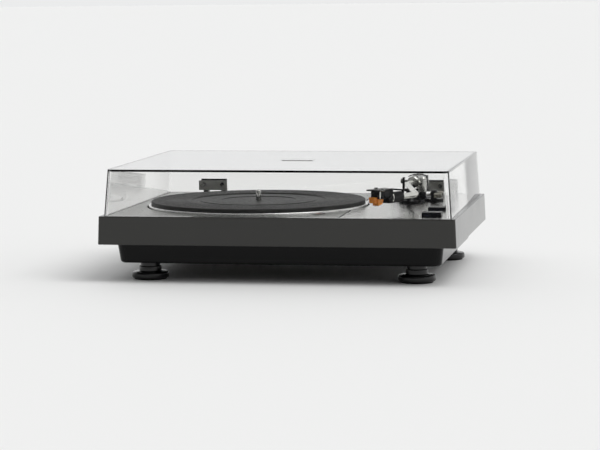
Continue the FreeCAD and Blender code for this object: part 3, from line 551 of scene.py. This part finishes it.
add_piece("pivot_yoke", yoke_mesh, "arm_yoke", satin_black, ("arm_yoke",))
dress(bright_steel, "pivot_screws")

# ------------------------------------------------------------------ barrel and counterweight
# The silver pivot barrel has turned rings; behind it the counterweight sits on the stub.



def ring_cuts(radius, places):
    """The outline of a 1 mm wide, 0.6 mm deep groove at each place along a turned piece."""
    floor_radius = radius - 0.0006
    outline = []
    for place in places:
        outline += [(radius, place, False), (floor_radius, place + 0.0002, False),
                    (floor_radius, place + 0.0008, False), (radius, place + 0.0010, False)]
    return outline


barrel_radius = 0.0081
stub_radius = 0.0035
barrel_outline = [(0, -0.018, False), (0.0066, -0.018, True), (barrel_radius, -0.0165, True)]
barrel_outline += ring_cuts(barrel_radius, (-0.0135, -0.0095, -0.0055, 0.0020))
barrel_outline += [(barrel_radius, 0.006, True), (stub_radius, 0.006, False), (stub_radius, 0.034, True),
                   (0, 0.034, False)]
barrel_mesh = bmesh.new()
spin_profile(barrel_mesh, rounded(barrel_outline, 0.0006), 72, arm_place @ along_arm)
add_piece("pivot_barrel_turned", barrel_mesh, "arm", satin_silver, ("pivot_barrel",))

weight_radius = 0.0085
weight_bore = 0.00353
weight_outline = [(weight_bore, 0.008, False), (weight_radius, 0.008, True)]
weight_outline += ring_cuts(weight_radius, (0.011, 0.0145, 0.018, 0.0215, 0.025, 0.0285))
weight_outline += [(weight_radius, 0.032, True), (weight_bore, 0.032, False)]
weight_mesh = bmesh.new()
spin_profile(weight_mesh, rounded(weight_outline, 0.0006), 72, arm_place @ along_arm)
add_piece("counterweight_turned", weight_mesh, "counterweight", satin_silver, ("counterweight",))

# ------------------------------------------------------------------ tube
# The S-shaped tube: one drawn aluminium tube, bent twice, from the barrel to the socket.

collar_back = Vector(joints["collar_turn"]["axis"]).normalized()
collar_at = Vector(joints["collar_turn"]["pos_m"])
collar_right = collar_back.cross(arm_up)
shell_place = frame_at(collar_at, collar_right, collar_back, arm_up)
tube_radius = 0.0037
first_bend = pivot - arm_back * 0.050
elbow = collar_at + collar_back * 0.0393
tube_points = [pivot - arm_back * 0.016, first_bend, elbow, collar_at + collar_back * 0.010]
bend_radius = 0.026
tube_path = [tube_points[0]]
for before, corner, after in zip(tube_points, tube_points[1:], tube_points[2:]):
    inward = (before - corner).normalized()
    outward = (after - corner).normalized()
    half_turn = (math.pi - inward.angle(outward)) / 2
    reach = bend_radius * math.tan(half_turn)
    hub = corner + (inward + outward).normalized() * (bend_radius / math.cos(half_turn))
    start = corner + inward * reach - hub
    swing = (corner + outward * reach) - hub
    normal = start.cross(swing).normalized()
    for step in range(13):
        tube_path.append(hub + Matrix.Rotation(2 * half_turn * step / 12, 3, normal) @ start)
tube_path.append(tube_points[-1])


def swept_tube(name, path, radius, sides=32):
    """A round tube with closed ends along points, as a bmesh."""
    curve = bpy.data.curves.new(name, "CURVE")
    curve.dimensions = "3D"
    curve.bevel_depth = radius
    curve.bevel_resolution = sides // 4 - 1
    curve.use_fill_caps = True
    line = curve.splines.new("POLY")
    line.points.add(len(path) - 1)
    for point, place in zip(line.points, path):
        point.co = (*place, 1)
    holder = bpy.data.objects.new(name, curve)
    scene.collection.objects.link(holder)
    shape = bpy.data.meshes.new_from_object(holder)
    bpy.data.objects.remove(holder)
    mesh = bmesh.new()
    mesh.from_mesh(shape)
    bpy.data.meshes.remove(shape)
    return mesh


tube_silver = finish("tube_satin_silver", (0.74, 0.74, 0.70), metallic=1.0, smooth=0.16, rough=0.26,
                     spread=0.06, patch=40, grain=1400, bump=0.06)
tube_mesh = swept_tube("tube_sweep", tube_path, tube_radius)
add_piece("arm_tube_drawn", tube_mesh, "arm", tube_silver, ("arm_tube",))

# ------------------------------------------------------------------ lock collar and socket
# A knurled black collar turns on the socket at the tube's end and pulls the headshell tight.

collar_mesh = bmesh.new()
collar_outline = rounded([(0.00483, -0.0094, False), (0.0064, -0.0094, True), (0.0070, -0.0086, True),
                          (0.0070, 0.0086, True), (0.0062, 0.0096, True), (0.00483, 0.0096, False)], 0.0005)
knurls = 72
spin_profile(collar_mesh, collar_outline, knurls)
for vertex in collar_mesh.verts:
    out = math.hypot(vertex.co.x, vertex.co.y)
    tooth = round(math.atan2(vertex.co.y, vertex.co.x) / (2 * math.pi) * knurls)
    if out > 0.0068 and tooth % 2:
        vertex.co.x *= 0.955
        vertex.co.y *= 0.955
bmesh.ops.transform(collar_mesh, matrix=shell_place @ along_arm, verts=collar_mesh.verts)
add_piece("knurled_collar", collar_mesh, "lock_collar", satin_black, ("lock_collar",), sharp=20)
dress(satin_silver, "arm_socket")

# ------------------------------------------------------------------ headshell
# A black moulded shell: a light ring against the collar, a neck and a flat plate that the cartridge
# hangs from.

shell_black = finish("shell_black", (0.003, 0.003, 0.0035), smooth=0.18, rough=0.3, grain=1500, bump=0.06,
                     shine=0.2)
run = 0.038  # from the middle of the collar forward to the stylus
shell_mesh = bmesh.new()
block(shell_mesh, (-0.0065, -0.0196, -0.0065), (0.0065, -0.0112, 0.0106), shell_place, 0.0012, 4)
block(shell_mesh, (-0.0095, -0.007 - run, 0.0106), (0.0095, -0.0120, 0.0124), shell_place, 0.0005)
add_piece("headshell_body", shell_mesh, "arm", shell_black, ("headshell",))
ring_mesh = bmesh.new()
spin_profile(ring_mesh, rounded([(0, -0.0112, False), (0.0069, -0.0112, True), (0.0071, -0.0106, True),
                                 (0.0071, -0.0100, True), (0, -0.0100, False)], 0.0003), 64,
             shell_place @ along_arm)
add_piece("headshell_ring", ring_mesh, "arm", tube_silver)

# ------------------------------------------------------------------ cartridge and stylus
# A black cartridge body with a light strip at its side; two screws hold it to the plate. The orange stylus
# unit is pushed up under it and carries the needle.

cartridge_mesh = bmesh.new()
block(cartridge_mesh, (-0.0080, -run, 0.0006), (0.0080, -0.0203, 0.0106), shell_place, 0.0006)
block(cartridge_mesh, (-0.0070, -run - 0.0002, 0.0040), (0.0070, -run + 0.002, 0.0046), shell_place, 0.0001,
      1)
add_piece("cartridge_body", cartridge_mesh, "arm", shell_black, ("cartridge",))
side_mesh = bmesh.new()
block(side_mesh, (0.0072, -run - 0.0002, 0.0008), (0.0081, -run + 0.0012, 0.0104), shell_place, 0.0002)
add_piece("cartridge_side_strip", side_mesh, "arm", tube_silver)

stylus_orange = finish("stylus_orange", (0.95, 0.33, 0.045), smooth=0.18, rough=0.3, spread=0.25, patch=300,
                       grain=1200, bump=0.1)
orange_shader = stylus_orange.node_tree.nodes["Principled BSDF"]
orange_shader.inputs["Subsurface Weight"].default_value = 0.15
orange_shader.inputs["Subsurface Radius"].default_value = (0.004, 0.0015, 0.0005)
stylus_mesh = bmesh.new()
front_block = [(0.0055, 0.0026), (0.0003, 0.0026), (0.0003, -0.0046), (0.0044, -0.0050)]
rear_block = [(0.0020, 0.0005), (-0.0092, 0.0005), (-0.0070, -0.0062), (0.0008, -0.0082)]
for left, right, side in ((-0.0068, 0.0036, front_block), (-0.0040, 0.0058, rear_block)):
    start_face = [stylus_mesh.verts.new((left, -ahead - run, up)) for ahead, up in side]
    grown = bmesh.ops.extrude_face_region(stylus_mesh, geom=[stylus_mesh.faces.new(start_face)])
    bmesh.ops.translate(stylus_mesh, vec=(right - left, 0, 0),
                        verts=[item for item in grown["geom"] if isinstance(item, bmesh.types.BMVert)])
bmesh.ops.bevel(stylus_mesh, geom=list(stylus_mesh.edges), offset=0.0005, offset_type="OFFSET",
                affect="EDGES", segments=3, profile=0.5, material=-1)
bmesh.ops.transform(stylus_mesh, matrix=shell_place, verts=stylus_mesh.verts)
add_piece("stylus_unit", stylus_mesh, "arm", stylus_orange, ("stylus",))
needle_mesh = bmesh.new()
spin_profile(needle_mesh, [(0, -0.0098), (0.00015, -0.0097), (0.0005, -0.0078), (0, -0.0078)], 16,
             shell_place @ Matrix.Translation((0, -run, 0)))
add_piece("stylus_needle", needle_mesh, "arm", polished_steel)
dress(bright_steel, "cartridge_screws", "finger_lift")

# ------------------------------------------------------------------ dust cover
# One clear acrylic moulding, 3 mm thick: a flat top and four drafted walls with rounded edges. It is open
# below and rests on the deck; the hinges hold its back wall.

cover_low, cover_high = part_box("dust_cover")
wall = 0.003
draft_side, draft_front, draft_back = 0.0041, 0.0057, 0.0022
clear_acrylic = bpy.data.materials.new("clear_acrylic")
clear_acrylic.use_nodes = True
acrylic_tree = clear_acrylic.node_tree
acrylic = acrylic_tree.nodes["Principled BSDF"]
acrylic.inputs["Base Color"].default_value = (1.0, 1.0, 0.995, 1)
acrylic.inputs["Roughness"].default_value = 0.0
acrylic.inputs["IOR"].default_value = 1.49
acrylic.inputs["Transmission Weight"].default_value = 1.0


def cover_shell(mesh, bottom, top, upright_radius, top_radius):
    """The outer skin: a drafted box whose upright edges and four straight top edges are rounded."""
    verts = bmesh.ops.create_cube(mesh, size=1.0)["verts"]
    for vertex in verts:
        at_top = vertex.co.z > 0
        lean = 1.0 if at_top else 0.0
        right_x = cover_high[0] - lean * draft_side
        front_y = cover_low[1] + lean * draft_front
        back_y = cover_high[1] - lean * draft_back
        vertex.co.x = right_x if vertex.co.x > 0 else -right_x
        vertex.co.y = back_y if vertex.co.y > 0 else front_y
        vertex.co.z = top if at_top else bottom
    uprights = [edge for edge in mesh.edges if abs(edge.verts[0].co.z - edge.verts[1].co.z) > 0.01]
    bmesh.ops.bevel(mesh, geom=uprights, offset=upright_radius, offset_type="OFFSET", affect="EDGES",
                    segments=8, profile=0.5, material=-1)
    tops = [edge for edge in mesh.edges if edge.calc_length() > 0.1
            and min(vertex.co.z for vertex in edge.verts) > top - 1e-5]
    bmesh.ops.bevel(mesh, geom=tops, offset=top_radius, offset_type="OFFSET", affect="EDGES", segments=4,
                    profile=0.5, material=-1)


# The skin starts 1 mm low, so that the walls can be cut off level once they have their thickness.
cover_mesh = bmesh.new()
skirt = cover_low[2] - 0.001
cover_shell(cover_mesh, skirt, cover_high[2], 0.007, 0.0024)
floor_faces = [face for face in cover_mesh.faces if face.calc_center_median().z < skirt + 1e-5]
bmesh.ops.delete(cover_mesh, geom=floor_faces, context="FACES_ONLY")
bmesh.ops.recalc_face_normals(cover_mesh, faces=cover_mesh.faces)
bmesh.ops.solidify(cover_mesh, geom=list(cover_mesh.faces), thickness=wall)
everything = cover_mesh.verts[:] + cover_mesh.edges[:] + cover_mesh.faces[:]
bmesh.ops.bisect_plane(cover_mesh, geom=everything, plane_co=(0, 0, cover_low[2]), plane_no=(0, 0, 1),
                       clear_inner=True)
bmesh.ops.bridge_loops(cover_mesh, edges=[edge for edge in cover_mesh.edges if edge.is_boundary])
add_piece("clear_cover", cover_mesh, "cover", clear_acrylic, ("dust_cover",), sharp=40)

# ------------------------------------------------------------------ badge
# A small blank metal plate with two dark edges, bonded to the middle of the cover's top.

badge_low, badge_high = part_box("cover_badge")
badge_metal = finish("badge_metal", (0.88, 0.88, 0.87), metallic=1.0, smooth=0.1, rough=0.18, grain=900,
                     bump=0.03, stretch=(1, 14, 1))
badge_mesh = bmesh.new()
block(badge_mesh, badge_low, badge_high, bevel=0.00015)
add_piece("blank_badge", badge_mesh, "cover", badge_metal, ("cover_badge",))
edge_out, edge_in = 0.0001, 0.0005
edge_mesh = bmesh.new()
block(edge_mesh, (badge_low[0] - edge_out, badge_high[1] - edge_in, badge_low[2]),
      (badge_high[0], badge_high[1] + edge_out, badge_high[2]), bevel=0)
block(edge_mesh, (badge_low[0] - edge_out, badge_low[1] + 0.009, badge_low[2]),
      (badge_low[0] + edge_in, badge_high[1], badge_high[2]), bevel=0)
add_piece("badge_edge", edge_mesh, "cover", satin_black)

# ------------------------------------------------------------------ hinges
# Each hinge has a steel plate inside the cover, a black leaf outside it, two screws through both, and a
# block on the back of the plinth with a pin.

plate_steel = finish("satin_hinge_plate", (0.42, 0.42, 0.40), metallic=1.0, smooth=0.38, rough=0.5,
                     spread=0.25, patch=90, grain=1200, bump=0.15)
dress(plate_steel, "hinge_plates")
dress(black_moulding, "hinge_leaves")
dress(polished_steel, "cover_screws")
